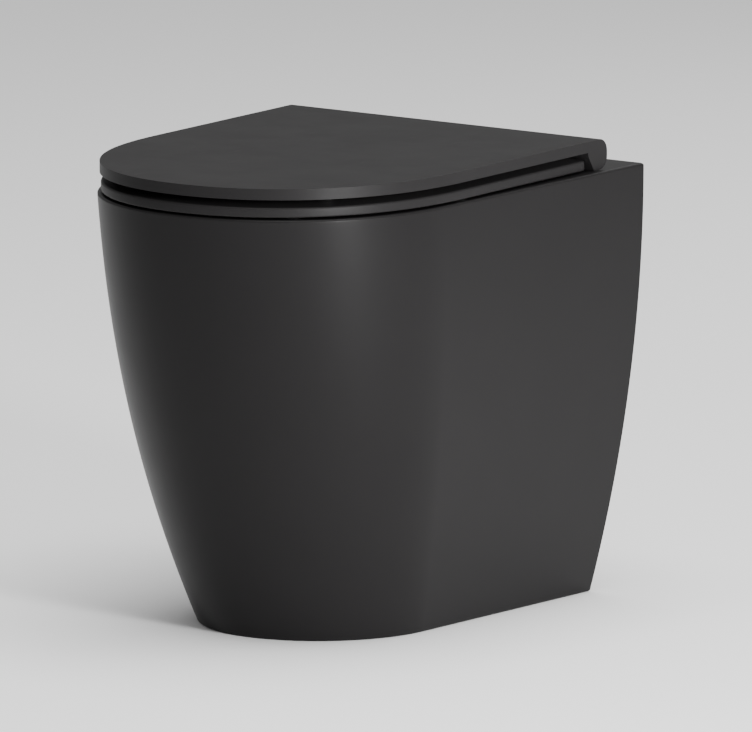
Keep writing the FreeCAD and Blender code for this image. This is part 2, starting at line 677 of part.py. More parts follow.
save("seat_ring", seat_ring())
save("seat_damper", cartridge(KNUCKLE_X1 - CARTRIDGE_LENGTH))
save("seat_bush", mirrored(cartridge(KNUCKLE_X1 - CARTRIDGE_LENGTH)))
save("seat_buffers", seat_buffers())

save("lid_shell", lid_shell())
save("lid_damper", mirrored(cartridge(NOTCH_X1)))
save("lid_bush", cartridge(NOTCH_X1))
save("lid_buffers", lid_buffers())
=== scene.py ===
import cmath
import math

import bmesh
import bpy
import numpy as np
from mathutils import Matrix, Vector


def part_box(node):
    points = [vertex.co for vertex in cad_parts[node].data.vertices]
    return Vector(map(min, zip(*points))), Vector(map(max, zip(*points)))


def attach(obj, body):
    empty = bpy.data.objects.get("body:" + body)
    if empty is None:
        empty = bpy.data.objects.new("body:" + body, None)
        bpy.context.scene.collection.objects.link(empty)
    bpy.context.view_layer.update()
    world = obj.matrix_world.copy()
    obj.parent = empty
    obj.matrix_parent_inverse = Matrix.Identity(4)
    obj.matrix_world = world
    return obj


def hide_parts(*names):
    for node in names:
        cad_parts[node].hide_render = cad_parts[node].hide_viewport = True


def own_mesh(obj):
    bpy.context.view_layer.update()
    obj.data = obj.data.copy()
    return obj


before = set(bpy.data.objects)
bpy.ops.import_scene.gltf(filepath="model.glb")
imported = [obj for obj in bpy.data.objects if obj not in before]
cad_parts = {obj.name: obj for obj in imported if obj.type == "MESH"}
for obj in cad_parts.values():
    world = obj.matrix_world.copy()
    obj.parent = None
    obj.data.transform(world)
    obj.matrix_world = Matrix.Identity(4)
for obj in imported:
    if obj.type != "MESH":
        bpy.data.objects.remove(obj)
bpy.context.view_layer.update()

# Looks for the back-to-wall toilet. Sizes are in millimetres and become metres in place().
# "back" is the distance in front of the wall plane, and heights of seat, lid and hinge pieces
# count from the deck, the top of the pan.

PAN_LOW, PAN_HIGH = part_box("pan_casting")
WALL_Y = PAN_HIGH.y
MM = 0.001
DECK = (PAN_HIGH.z - PAN_LOW.z) / MM
PAN_DEPTH = (PAN_HIGH.y - PAN_LOW.y) / MM
PAN_HALF_WIDTH = PAN_HIGH.x / MM

# Pan outline, from deck to floor
FOOT_HALF_WIDTH = 121.5
FOOT_DEPTH = 365.5
RIM_STRAIGHT = 300.0
FOOT_STRAIGHT = 253.0
SIDE_TAPER = 0.0357
SIDE_POWER = 2.0
NOSE_POWER = 2.5
NOSE_LEAN = 0.485
RIM_POWERS = (2.13, 2.2)
FOOT_POWERS = (2.0, 2.0)
WALL = 12.0

# Bowl: height, half width, half length, back of the centre
BOWL_WALL = 11.0
BOWL_LEVELS = (
    (DECK, 132.0, 150.0, 283.0),
    (350.0, 130.0, 148.0, 282.0),
    (290.0, 119.0, 138.0, 278.0),
    (230.0, 96.0, 118.0, 268.0),
    (180.0, 68.0, 88.0, 253.0),
    (130.0, 48.0, 56.0, 238.0),
    (85.0, 40.0, 43.0, 229.0),
    (50.0, 33.0, 34.0, 226.0),
)
LIP_R = 7.0

# Trap, outlet and inlet
TRAP_R = 36.0
TRAP_WALL = 10.0
OUTLET_Z = 180.0
OUTLET_R = 51.0
OUTLET_BORE_R = 40.0
SPIGOT_BACK = 6.0
OUTLET_LENGTH = 46.0
INLET_Z = 325.0
INLET_R = 27.5
INLET_WALL = 9.5
INLET_DEPTH = 45.0
FLUSHWAY_R = 20.0

# Hinge, fixings and the lugs inside the skirt
AXIS_BACK = 57.0
AXIS_UP = 12.0
FIXING_X = 77.5
FIXING_BACK = 84.0
LUG_BACK, LUG_X, LUG_Z = 150.0, 91.0, 25.0


def place(x, back, z):
    """Point given in millimetres, in metres of the shared frame."""
    return (x * MM, WALL_Y - back * MM, z * MM)


def mix(start, end, share):
    return start + (end - start) * share


def quarter(radius, steps=5):
    """Offsets (inward, downward) of a quarter round, from the flat top to the upright side."""
    turns = [math.pi / 2 * k / steps for k in range(steps + 1)]
    return [(radius * (1 - math.sin(t)), radius * (1 - math.cos(t))) for t in turns]


# ---- mesh helpers


def mesh_object(name, points, faces):
    mesh = bpy.data.meshes.new(name)
    mesh.from_pydata([place(*p) for p in points], [], faces)
    piece = bpy.data.objects.new(name, mesh)
    bpy.context.scene.collection.objects.link(piece)
    tidy = bmesh.new()
    tidy.from_mesh(mesh)
    bmesh.ops.recalc_face_normals(tidy, faces=tidy.faces)
    tidy.to_mesh(mesh)
    tidy.free()
    return piece


def loft(name, loops, closed=False):
    """Solid through a list of closed loops; capped at both ends, or closed on itself."""
    size = len(loops[0])
    points = [p for loop in loops for p in loop]
    faces = []
    count = len(loops)
    for row in range(count if closed else count - 1):
        here, there = row * size, ((row + 1) % count) * size
        for k in range(size):
            n = (k + 1) % size
            faces.append((here + k, here + n, there + n, there + k))
    if not closed:
        faces.append(tuple(range(size)))
        faces.append(tuple(range((count - 1) * size, count * size)))
    return mesh_object(name, points, faces)


def slab_x(name, profile, x0, x1):
    """A (back, z) outline stretched between two x values."""
    return loft(name, [[(x, back, z) for back, z in profile] for x in (x0, x1)])


def block(name, x0, x1, back0, back1, z0, z1):
    return slab_x(name, [(back0, z0), (back1, z0), (back1, z1), (back0, z1)], x0, x1)


def ring_points(radius, count, centre, axis):
    """Loop of points round an axis through centre; axis is 'x', 'y' or 'z'."""
    loop = []
    for k in range(count):
        t = 2 * math.pi * k / count
        a, b = radius * math.cos(t), radius * math.sin(t)
        shift = {"x": (0, a, b), "y": (a, 0, b), "z": (a, b, 0)}[axis]
        loop.append(tuple(c + s for c, s in zip(centre, shift)))
    return loop


def lathe(name, profile, centre, axis, count=48):
    """Solid of revolution from (radius, distance along the axis) pairs."""
    step = {"x": (1, 0, 0), "y": (0, 1, 0), "z": (0, 0, 1)}[axis]
    loops = []
    for radius, along in profile:
        spot = [c + s * along for c, s in zip(centre, step)]
        loops.append(ring_points(max(radius, 0.01), count, spot, axis))
    return loft(name, loops)


def sweep(name, path, radius, count=24):
    """Round bar along a path of points; the ends are flat."""
    path = np.array(path, float)
    ways = np.gradient(path, axis=0)
    ways /= np.linalg.norm(ways, axis=1)[:, None]
    side = np.cross(ways[0], (0.3, 0.5, 0.8))
    loops = []
    for spot, way in zip(path, ways):
        side = side - way * side.dot(way)
        side /= np.linalg.norm(side)
        up = np.cross(way, side)
        turns = 2 * math.pi * np.arange(count) / count
        ring = spot + radius * (np.cos(turns)[:, None] * side + np.sin(turns)[:, None] * up)
        loops.append([tuple(p) for p in ring])
    return loft(name, loops)


def combine(piece, tools, operation):
    """Applies solids to a piece one by one, and removes them."""
    for tool in tools if isinstance(tools, (list, tuple)) else [tools]:
        step = piece.modifiers.new("join", "BOOLEAN")
        step.operation = operation
        step.object = tool
        step.solver = "EXACT"
        bake_modifiers(piece)
        bpy.data.objects.remove(tool)
    return piece


def bake_modifiers(piece):
    graph = bpy.context.evaluated_depsgraph_get()
    graph.update()
    mesh = bpy.data.meshes.new_from_object(piece.evaluated_get(graph))
    piece.modifiers.clear()
    piece.data = mesh


def join(name, pieces):
    """One object from several."""
    made = bmesh.new()
    for piece in pieces:
        made.from_mesh(piece.data)
    mesh = bpy.data.meshes.new(name)
    made.to_mesh(mesh)
    made.free()
    for piece in pieces:
        bpy.data.objects.remove(piece)
    whole = bpy.data.objects.new(name, mesh)
    bpy.context.scene.collection.objects.link(whole)
    return whole


def mirror_copy(piece, name):
    """The same piece on the other side of the middle plane."""
    twin = bpy.data.objects.new(name, piece.data.copy())
    bpy.context.scene.collection.objects.link(twin)
    for vertex in twin.data.vertices:
        vertex.co.x = -vertex.co.x
    twin.data.flip_normals()
    return twin


def soften(piece, width, angle=32.0, segments=3):
    """Rounds every edge that is sharper than the angle, and shades the rest smooth."""
    if width:
        edge = piece.modifiers.new("round", "BEVEL")
        edge.width = width * MM
        edge.segments = segments
        edge.limit_method = "ANGLE"
        edge.angle_limit = math.radians(angle)
        edge.use_clamp_overlap = True
        bake_modifiers(piece)
    piece.data.shade_smooth()
    piece.data.set_sharp_from_angle(angle=math.radians(angle + 6))
    weigh_normals(piece, 60)
    return piece


def weigh_normals(piece, weight=50):
    """Keeps flat faces flat next to their rounded edges."""
    weigh = piece.modifiers.new("normals", "WEIGHTED_NORMAL")
    weigh.keep_sharp = True
    weigh.weight = weight


def fit_out(piece, body, slot, material, *nodes):
    """Material, body, slot (not used) and the CAD nodes that the piece stands for."""
    piece.data.materials.clear()
    piece.data.materials.append(material)
    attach(piece, body)
    if nodes:
        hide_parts(*nodes)
    return piece


# ---- the D-shaped outline that pan, seat and lid share


def outline(half_width, taper, straight, depth, powers, start, corner=0.0):
    """Closed plan loop (x, back) from the right rear round the nose to the left rear."""
    half = []
    corner_steps = 4 if corner else 0
    for k in range(corner_steps):
        turn = math.pi / 2 * k / corner_steps
        back = start + corner * (1 - math.cos(turn))
        half.append((half_width - taper * start - corner * (1 - math.sin(turn)), back))
    side_steps, nose_steps = 10, 36
    for k in range(side_steps):
        back = mix(start + corner, straight, k / side_steps)
        half.append((half_width - taper * back, back))
    for k in range(nose_steps + 1):
        turn = math.pi / 2 * k / nose_steps
        back = mix(straight, depth, math.sin(turn) ** (2 / powers[1]))
        squeeze = max(0.0, math.cos(turn)) ** (2 / powers[0])
        half.append(((half_width - taper * back) * squeeze, back))
    return half + [(-x, back) for x, back in reversed(half[:-1])]


def pan_loop(z, inset, start, corner=0.0):
    """Plan loop of the pan's skin at a height, moved in by inset."""
    drop = min(1.1, max(0.0, 1 - z / DECK))
    half_width = mix(PAN_HALF_WIDTH, FOOT_HALF_WIDTH, drop**SIDE_POWER) - inset
    lean = NOSE_LEAN * drop + (1 - NOSE_LEAN) * drop**NOSE_POWER
    depth = mix(PAN_DEPTH, FOOT_DEPTH, lean) - inset
    straight = mix(RIM_STRAIGHT, FOOT_STRAIGHT, lean)
    powers = [mix(a, b, drop) for a, b in zip(RIM_POWERS, FOOT_POWERS)]
    loop = outline(half_width, SIDE_TAPER, straight, depth, powers, start, corner)
    return [(x, back, z) for x, back in loop]


def pan_skin():
    rows = 56
    foot_round, rim_round, corner = 2.0, 2.5, 1.2
    levels = [(down, inset) for inset, down in quarter(foot_round)]
    low, high = foot_round, DECK - rim_round
    levels += [(mix(low, high, k / rows), 0.0) for k in range(1, rows)]
    levels += [(DECK - down, inset) for inset, down in reversed(quarter(rim_round))]
    return loft("pan", [pan_loop(z, inset, inset, corner) for z, inset in levels])


def pan_cavity():
    rows = 24
    top_round = 8.0
    top = DECK - WALL
    levels = [(mix(-10.0, top - top_round, k / rows), 0.0) for k in range(rows)]
    levels += [(top - down, inset) for inset, down in reversed(quarter(top_round))]
    return loft("cavity", [pan_loop(z, WALL + inset, -20.0) for z, inset in levels])


# ---- bowl and trap


def bowl_level(z):
    """Half width, half length and centre of the bowl at a height, on a smooth curve."""
    heights = [level[0] for level in BOWL_LEVELS]
    sizes = np.array([level[1:] for level in BOWL_LEVELS])
    heights = np.array(heights)[::-1]
    sizes = sizes[::-1]
    slopes = np.gradient(sizes, heights, axis=0)
    k = int(np.clip(np.searchsorted(heights, z) - 1, 0, len(heights) - 2))
    span = heights[k + 1] - heights[k]
    t = (z - heights[k]) / span
    a = 2 * t**3 - 3 * t**2 + 1
    b = t**3 - 2 * t**2 + t
    c = -2 * t**3 + 3 * t**2
    d = t**3 - t**2
    return a * sizes[k] + b * span * slopes[k] + c * sizes[k + 1] + d * span * slopes[k + 1]


def oval_loop(half_x, half_y, back, z, count=96):
    turns = [2 * math.pi * k / count for k in range(count)]
    return [(half_x * math.cos(t), back + half_y * math.sin(t), z) for t in turns]


def bowl_shape(name, grow, top):
    """The bowl's hollow with its rolled lip, or with grow its outside, closed by a round floor."""
    low = BOWL_LEVELS[-1][0]
    rows = 44
    loops = []
    if not grow:
        half_x, half_y, back = bowl_level(DECK)
        last = math.radians(80.0)
        end_grow = LIP_R * (1 - math.cos(last))
        end_z = DECK - LIP_R + LIP_R * math.sin(last)
        rise = 1.0
        out = end_grow + (DECK + rise - end_z) / math.tan(math.radians(10.0))
        loops.append(oval_loop(half_x + out, half_y + out, back, DECK + rise))
        for k in range(8, 0, -1):
            turn = last * k / 8
            out = LIP_R * (1 - math.cos(turn))
            z = DECK - LIP_R + LIP_R * math.sin(turn)
            loops.append(oval_loop(half_x + out, half_y + out, back, z))
    for k in range(rows + 1):
        z = mix(top, low, k / rows)
        half_x, half_y, back = bowl_level(z)
        loops.append(oval_loop(half_x + grow, half_y + grow, back, z))
    half_x, half_y, back = bowl_level(low)
    floor_depth = 14.0 + grow
    for k in range(1, 9):
        turn = math.pi / 2 * k / 8
        squeeze = max(0.02, math.cos(turn))
        z = low - floor_depth * math.sin(turn)
        loops.append(oval_loop((half_x + grow) * squeeze, (half_y + grow) * squeeze, back, z))
    return loft(name, loops)


def rounded_path(points, radius, steps=14):
    """Points along straight runs with tangent arcs between them."""
    points = [np.array(p, float) for p in points]
    path = [points[0]]
    for before, corner, after in zip(points, points[1:], points[2:]):
        way_in = (corner - before) / np.linalg.norm(corner - before)
        way_out = (after - corner) / np.linalg.norm(after - corner)
        turn = math.acos(np.clip(way_in.dot(way_out), -1, 1))
        reach = radius * math.tan(turn / 2)
        start, end = corner - way_in * reach, corner + way_out * reach
        to_centre = (way_out - way_in) / np.linalg.norm(way_out - way_in)
        centre = corner + to_centre * radius / math.cos(turn / 2)
        for k in range(steps + 1):
            t = turn * k / steps
            arm = (start - centre) * math.cos(t) + way_in * radius * math.sin(t)
            path.append(centre + arm)
    path.append(points[-1])
    return path


def trap_shape(name, radius):
    """Round-nosed tube from the sump over the weir to the outlet."""
    rise, fall = math.radians(75.0), math.radians(12.0)
    sump_back, sump_z, run, leg = 228.0, 70.0, 45.0, 135.0
    knee = sump_back - run
    crown_back = knee - leg * math.cos(rise)
    crown_z = sump_z + leg * math.sin(rise)
    level_back = crown_back - (crown_z - OUTLET_Z) / math.tan(fall)
    points = [
        (0, sump_back, sump_z),
        (0, knee, sump_z),
        (0, crown_back, crown_z),
        (0, level_back, OUTLET_Z),
        (0, SPIGOT_BACK + OUTLET_LENGTH - 8, OUTLET_Z),
    ]
    tube = sweep(name, rounded_path(points, 52.0), radius, 64)
    ball = [(radius * math.sin(t), -radius * math.cos(t)) for t in np.linspace(0.05, math.pi - 0.05, 24)]
    nose = lathe("nose", ball, (0, sump_back, sump_z), "y", 64)
    return combine(tube, nose, "UNION")


def splash_shield():
    """Ledge and curtain that turn the flush to both sides, swept along the bowl's rear wall."""
    top, height, thick, gap, edge = 356.0, 56.0, 8.0, 14.0, 3.5
    half_x, half_y, back = bowl_level(top - 20)
    section = [(-6, top - thick), (gap - 4, top - thick), (gap, top - thick - 4)]
    section += [(gap, top - height + edge), (gap + 1, top - height + 1), (gap + edge, top - height)]
    section += [(gap + thick - edge, top - height), (gap + thick - 1, top - height + 1)]
    section += [(gap + thick, top - height + edge)]
    bend = 12.0
    for k in range(7):
        turn = math.pi / 2 * k / 6
        section.append((gap + thick - bend * (1 - math.cos(turn)), top - bend + bend * math.sin(turn)))
    section += [(-6, top)]
    loops = []
    limit = math.radians(33.0)
    for t in np.linspace(-limit, limit, 41):
        way = (math.sin(t), -math.cos(t))
        loops.append([((half_x - off) * way[0], back + (half_y - off) * way[1], z) for off, z in section])
    return loft("shield", loops)


def make_pan(material):
    pan = combine(pan_skin(), pan_cavity(), "DIFFERENCE")
    bowl_top = DECK - 5.0
    combine(pan, bowl_shape("bowl_outside", BOWL_WALL, bowl_top), "UNION")
    outer = TRAP_R + TRAP_WALL
    outlet = lathe(
        "outlet",
        [(OUTLET_R - 1.5, 0), (OUTLET_R, 1.5), (OUTLET_R, OUTLET_LENGTH - 6), (outer, OUTLET_LENGTH)],
        (0, SPIGOT_BACK, OUTLET_Z),
        "y",
        72,
    )
    inlet_r = INLET_R + INLET_WALL
    inlet_profile = [(inlet_r - 2, 0), (inlet_r, 2), (inlet_r, 143)]
    inlet = lathe("inlet", inlet_profile, (0, SPIGOT_BACK, INLET_Z), "y", 64)
    combine(pan, [trap_shape("trap_outside", outer), outlet, inlet], "UNION")
    for side in (-1, 1):
        lug = block("lug", side * 91.0, side * 116.0, 133.0, 167.0, 2.0, 44.0)
        combine(pan, lug, "UNION")
    bowl_inside = bowl_shape("bowl_inside", 0.0, DECK - LIP_R)
    combine(pan, [bowl_inside, trap_shape("trap_inside", TRAP_R)], "DIFFERENCE")
    bores = [
        lathe("bore", [(OUTLET_BORE_R, -2), (OUTLET_BORE_R, 50)], (0, SPIGOT_BACK, OUTLET_Z), "y", 64),
        lathe("bore", [(INLET_R, -2), (INLET_R, INLET_DEPTH)], (0, SPIGOT_BACK, INLET_Z), "y", 64),
        lathe("bore", [(FLUSHWAY_R, 40), (FLUSHWAY_R, 150)], (0, SPIGOT_BACK, INLET_Z), "y", 48),
    ]
    combine(pan, bores, "DIFFERENCE")
    combine(pan, splash_shield(), "UNION")
    for side in (-1, 1):
        hole = lathe("hole", [(7.0, -20), (7.0, 5)], (side * FIXING_X, FIXING_BACK, DECK), "z", 40)
        depths = [(6.0, side * 90.0), (6.0, side * 107.5)]
        socket = lathe("socket", depths, (0, LUG_BACK, LUG_Z), "x", 40)
        combine(pan, [hole, socket], "DIFFERENCE")
    soften(pan, 0.0, 30.0)
    return fit_out(pan, "pan", "pan_glaze", material, "pan_casting")


# ---- lid and seat

COVER_STRAIGHT = 266.0
COVER_POWERS = (2.12, 2.3)
LID_HALF_WIDTH = 170.5
LID_DEPTH = 475.5
LID_BOTTOM, LID_TOP = 18.0, 28.2
HOOK_R, HOOK_CORNER_R = 11.3, 12.0
SEAT_HALF_WIDTH = 168.5
SEAT_DEPTH = 475.8
SEAT_REAR = 76.5
RECESS_BORDER, RECESS_BACK, RECESS_DEPTH, RECESS_ROUND = 14.0, 112.0, 3.5, 2.5
CORNER_R = 8.0
SEAT_CORNER_R = 4.0
# Half width, half length and back of the centre of the hole
SEAT_HOLE = (112.0, 133.0, 273.0)
LID_ROUND, SEAT_ROUND = 1.1, 0.9
CARTRIDGE_R = 5.5
SEAT_CARTRIDGE_X = (32.0, 61.0)
LID_CARTRIDGE_X = (95.0, 124.0)
PIN_R = 3.0
HOUSING_X = (61.5, 94.5)
HOUSING_FRONT, HOUSING_TOP = 104.0, 13.5
BARREL_R = 8.5
NOTCH_X = (29.5, 95.0)
KNUCKLE_X = (30.0, 61.0)
BUTTON_HALF_WIDTH = 7.0
POCKET_GAP = 0.3
SPRING_BACK = (96.0, 100.0)
ROD_Z = DECK + 5.6
AXIS = (0, AXIS_BACK, DECK + AXIS_UP)


def add_arc(points, centre, radius, start_deg, end_deg, steps=10):
    for k in range(steps + 1):
        t = math.radians(mix(start_deg, end_deg, k / steps))
        points.append((centre[0] + radius * math.cos(t), centre[1] + radius * math.sin(t)))


def add_bend(points, start, middle, end, steps=8):
    """Arc through three points."""
    a, b, c = (complex(*p) for p in (start, middle, end))
    w = (c - a) / (b - a)
    centre = a - (b - a) * (w - abs(w) ** 2) / (2j * w.imag)
    first, last = cmath.phase(a - centre), cmath.phase(c - centre)
    sweep_angle = (last - first + math.pi) % (2 * math.pi) - math.pi
    for k in range(steps + 1):
        spot = centre + (a - centre) * cmath.exp(1j * sweep_angle * k / steps)
        points.append((spot.real, spot.imag))


def lid_profile():
    """Side view (back, z): thin slab whose rear curls down into the hook round the axis."""
    rear = AXIS_BACK - HOOK_R
    points = [(485.0, LID_TOP)]
    add_arc(points, (rear + HOOK_CORNER_R, LID_TOP - HOOK_CORNER_R), HOOK_CORNER_R, 90, 180, 14)
    add_arc(points, (AXIS_BACK, AXIS_UP), HOOK_R, 180, 270, 14)
    add_bend(points, (61.0, 0.7), (65.6, 2.1), (69.0, 5.6))
    add_bend(points, (74.5, 13.0), (78.1, 16.6), (83.0, 18.0))
    points.append((485.0, LID_BOTTOM))
    return [(back, DECK + z) for back, z in points]


def cover_loop(half_width, depth, start, corner=0.0):
    return outline(half_width, 0.0, COVER_STRAIGHT, depth, COVER_POWERS, start, corner)


def prism(name, half_width, depth, start, levels, corner=0.0):
    """Upright solid on the outline of seat and lid, through (z, inset) levels."""
    loops = []
    for z, inset in levels:
        loop = cover_loop(half_width - inset, depth - inset, start + inset, corner)
        loops.append([(x, back, z) for x, back in loop])
    return loft(name, loops)


def bar_x(name, radius, x0, x1, count=48):
    """Plain round tool on the hinge axis."""
    return lathe(name, [(radius, x0), (radius, x1)], AXIS, "x", count)


def make_lid(material):
    lid = prism("lid", LID_HALF_WIDTH, LID_DEPTH, 40.0, [(DECK - 5, 0), (DECK + 40, 0)])
    combine(lid, slab_x("side_view", lid_profile(), -200, 200), "INTERSECT")
    ceiling = DECK + LID_BOTTOM + RECESS_DEPTH
    levels = [(DECK + 8, 0.0), (ceiling - RECESS_ROUND, 0.0)]
    levels += [(ceiling - down, inset) for inset, down in reversed(quarter(RECESS_ROUND))]
    half_width, depth = LID_HALF_WIDTH - RECESS_BORDER, LID_DEPTH - RECESS_BORDER
    combine(lid, prism("recess", half_width, depth, RECESS_BACK, levels, CORNER_R), "DIFFERENCE")
    for side in (-1, 1):
        x0, x1 = side * NOTCH_X[0], side * NOTCH_X[1]
        tools = [
            bar_x("swing", 11.0, x0, x1, 96),
            block("rear", x0, x1, 30, 54, DECK - 1, DECK + 18),
            block("under", x0, x1, 50, 108, DECK - 1, DECK + AXIS_UP),
            block("front", x0, x1, AXIS_BACK, 108, DECK + 5, DECK + LID_BOTTOM + 0.2),
            bar_x("bore", CARTRIDGE_R, x1 - side, side * LID_CARTRIDGE_X[1]),
        ]
        combine(lid, tools, "DIFFERENCE")
    soften(lid, LID_ROUND, 32.0)
    return fit_out(lid, "lid", "seat_duroplast", material, "lid_shell")


def seat_loops():
    """Outer and hole loops of the seat with matching points."""
    outer = cover_loop(SEAT_HALF_WIDTH, SEAT_DEPTH, SEAT_REAR, SEAT_CORNER_R)
    rear_steps = 30
    left, right = outer[-1], outer[0]
    for k in range(1, rear_steps):
        outer.append((mix(left[0], right[0], k / rear_steps), left[1]))
    half_x, half_y, back = SEAT_HOLE
    inner = []
    for x, b in outer:
        t = math.atan2((b - back) / half_y, x / half_x)
        inner.append((half_x * math.cos(t), back + half_y * math.sin(t)))
    return np.array(outer), np.array(inner)


def make_seat(material):
    outer, inner = seat_loops()
    width = np.linalg.norm(outer - inner, axis=1)[:, None]
    # Section of the ring: which edge a row counts from, how far in, and its height
    rows = [("out", 3.0, 1.8), ("out", 1.2, 2.0), ("out", 0.3, 2.6), ("out", 0.0, 3.5)]
    rows += [("out", 0.0, 9.3), ("out", 0.3, 10.1), ("out", 0.9, 10.8), ("out", 1.9, 11.2)]
    rows += [("out", 8.0, 12.5), ("out", 13.0, 13.5), ("out", 18.0, 14.4), ("out", 23.0, 14.9)]
    rows += [("out", 28.0, 15.0), ("in", 20.0, 15.0), ("in", 14.0, 14.6), ("in", 9.0, 13.7)]
    rows += [("in", 5.0, 12.3), ("in", 2.2, 10.4), ("in", 0.6, 8.2), ("in", 0.0, 6.0)]
    rows += [("in", 0.3, 4.0), ("in", 1.4, 2.5), ("in", 3.5, 1.8), ("in", 20.0, 1.8)]
    loops = []
    for edge, offset, z in rows:
        share = offset / width if edge == "out" else 1 - offset / width
        plan = outer + (inner - outer) * share
        loops.append([(x, back, DECK + z) for x, back in plan])
    seat = loft("seat", loops, closed=True)
    for side in (-1, 1):
        x0, x1 = KNUCKLE_X
        rings = [(7.5, x0), (8.3, x0 + 0.8), (8.3, x1 - 0.8), (7.5, x1)]
        knuckle = lathe("knuckle", [(r, side * x) for r, x in rings], AXIS, "x", 64)
        arm = block("arm", side * x0, side * x1, AXIS_BACK, SEAT_REAR + 10, DECK + 1.8, DECK + 10.5)
        combine(seat, [knuckle, arm], "UNION")
        recess = block("recess", side * x1, side * NOTCH_X[1], SEAT_REAR - 8, 109, DECK, DECK + 20)
        bore = bar_x("bore", CARTRIDGE_R, side * SEAT_CARTRIDGE_X[0], side * (x1 + 1))
        combine(seat, [recess, bore, bar_x("pin_bore", 3.5, side * 29, side * 33, 32)], "DIFFERENCE")
    soften(seat, SEAT_ROUND, 34.0)
    return fit_out(seat, "seat", "seat_duroplast", material, "seat_ring")


# ---- hinge


def both_sides(make, name, body, slot, material, node=None):
    """A piece on the right and its mirror image on the left; node has a {} where the side's name goes."""
    right = make(name + "_right")
    left = mirror_copy(right, name + "_left")
    weigh_normals(left)
    for piece, side in ((right, "right"), (left, "left")):
        nodes = [node.format(side)] if node else []
        fit_out(piece, body.format(side), slot.format(side), material, *nodes)
    return right, left


def housing(name):
    """Barrel on the axis, and a foot with a socket for the post and a pocket for the button."""
    x0, x1 = HOUSING_X
    low = DECK + 1.6
    r = 5.0
    plan = [(x0, AXIS_BACK - 3), (x1, AXIS_BACK - 3)]
    add_arc(plan, (x1 - r, HOUSING_FRONT - r), r, 0, 90, 8)
    add_arc(plan, (x0 + r, HOUSING_FRONT - r), r, 90, 180, 8)
    levels = ((low, plan), (DECK + HOUSING_TOP, plan))
    body = loft(name, [[(x, back, z) for x, back in loop] for z, loop in levels])
    high = DECK + AXIS_UP - 4
    rear = block("rear", x0 - 1, x1 + 1, AXIS_BACK - 9, AXIS_BACK, high, DECK + 30)
    combine(body, rear, "DIFFERENCE")
    combine(body, bar_x("barrel", BARREL_R, x0, x1, 72), "UNION")
    spot = (FIXING_X, FIXING_BACK, DECK)
    half = BUTTON_HALF_WIDTH + POCKET_GAP
    tools = [
        lathe("socket", [(7.6, 0), (7.6, 11)], spot, "z", 56),
        bar_x("pin_bore", PIN_R, x0 - 1, x1 + 1, 40),
        block("pocket", FIXING_X - half, FIXING_X + half, 96, 112, DECK + 3.1, DECK + 10.7),
        lathe("rod_bore", [(1.8, -10), (1.8, 2)], (FIXING_X, 98, ROD_Z), "y", 32),
        block("slot", FIXING_X - 11, FIXING_X + 11, 75, 94, DECK + 4.6, DECK + 6.6),
    ]
    combine(body, tools, "DIFFERENCE")
    return soften(body, 0.5, 34.0)


def button(name):
    """Cap with three grip ridges, and the rod that opens the clip."""
    x0, x1 = FIXING_X - BUTTON_HALF_WIDTH, FIXING_X + BUTTON_HALF_WIDTH
    cap = block(name, x0, x1, SPRING_BACK[1], HOUSING_FRONT + 2.5, DECK + 3.4, DECK + 10.4)
    for z in (5.2, 6.9, 8.6):
        ring = [(0.5, x0 + 2), (0.5, x1 - 2)]
        groove = lathe("groove", ring, (0, HOUSING_FRONT + 2.6, DECK + z), "x", 16)
        combine(cap, groove, "DIFFERENCE")
    rod = lathe("rod", [(1.1, 0), (1.5, 0.4), (1.5, 6)], (FIXING_X, 95, ROD_Z), "y", 32)
    combine(cap, rod, "UNION")
    return soften(cap, 0.35, 34.0, 2)


def spring(name):
    """Small compression spring round the button's rod."""
    turns, wire, coil = 3.2, 0.3, 2.1
    path = []
    for k in range(161):
        t = k / 160
        a = 2 * math.pi * turns * t
        back = mix(SPRING_BACK[0] + wire, SPRING_BACK[1] - wire, t)
        path.append((FIXING_X + coil * math.cos(a), back, ROD_Z + coil * math.sin(a)))
    return soften(sweep(name, path, wire, 10), 0.0, 40.0)


def clip(name):
    """U of wire round the post's neck, with its tips drawn in to the button's rod."""
    leg = 7.0
    path = [(-2.4, 92.6), (-4.8, 90.0), (-leg, 87.0), (-leg, FIXING_BACK)]
    for k in range(1, 24):
        t = math.pi * k / 24
        path.append((-leg * math.cos(t), FIXING_BACK - leg * math.sin(t)))
    path += [(leg, FIXING_BACK), (leg, 87.0), (4.8, 90.0), (2.4, 92.6)]
    points = [(FIXING_X + x, back, ROD_Z) for x, back in path]
    return soften(sweep(name, points, 0.78, 20), 0.0, 40.0)


def hinge_pin(name):
    x0, x1 = SEAT_CARTRIDGE_X[0], LID_CARTRIDGE_X[1]
    ends = [(PIN_R - 0.7, x0), (PIN_R, x0 + 0.7), (PIN_R, x1 - 0.7), (PIN_R - 0.7, x1)]
    return soften(lathe(name, ends, AXIS, "x", 40), 0.15)


def cartridge_profile(x0, x1, side):
    """Bored cartridge with a collar at its end and two shallow grooves."""
    wall, bore = CARTRIDGE_R - 0.02, PIN_R + 0.05
    outer = [(wall - 0.5, x0), (wall, x0 + 0.5), (wall, x0 + 3), (wall - 0.25, x0 + 3.3)]
    outer += [(wall - 0.25, x0 + 4.2), (wall, x0 + 4.5), (wall, x1 - 4), (wall - 0.25, x1 - 3.7)]
    outer += [(wall - 0.25, x1 - 2.8), (wall, x1 - 2.5), (wall, x1 - 0.5), (wall - 0.5, x1)]
    loop = outer + [(bore + 0.3, x1), (bore, x1 - 0.3), (bore, x0 + 0.3), (bore + 0.3, x0)]
    return [(r, side * x) for r, x in loop]


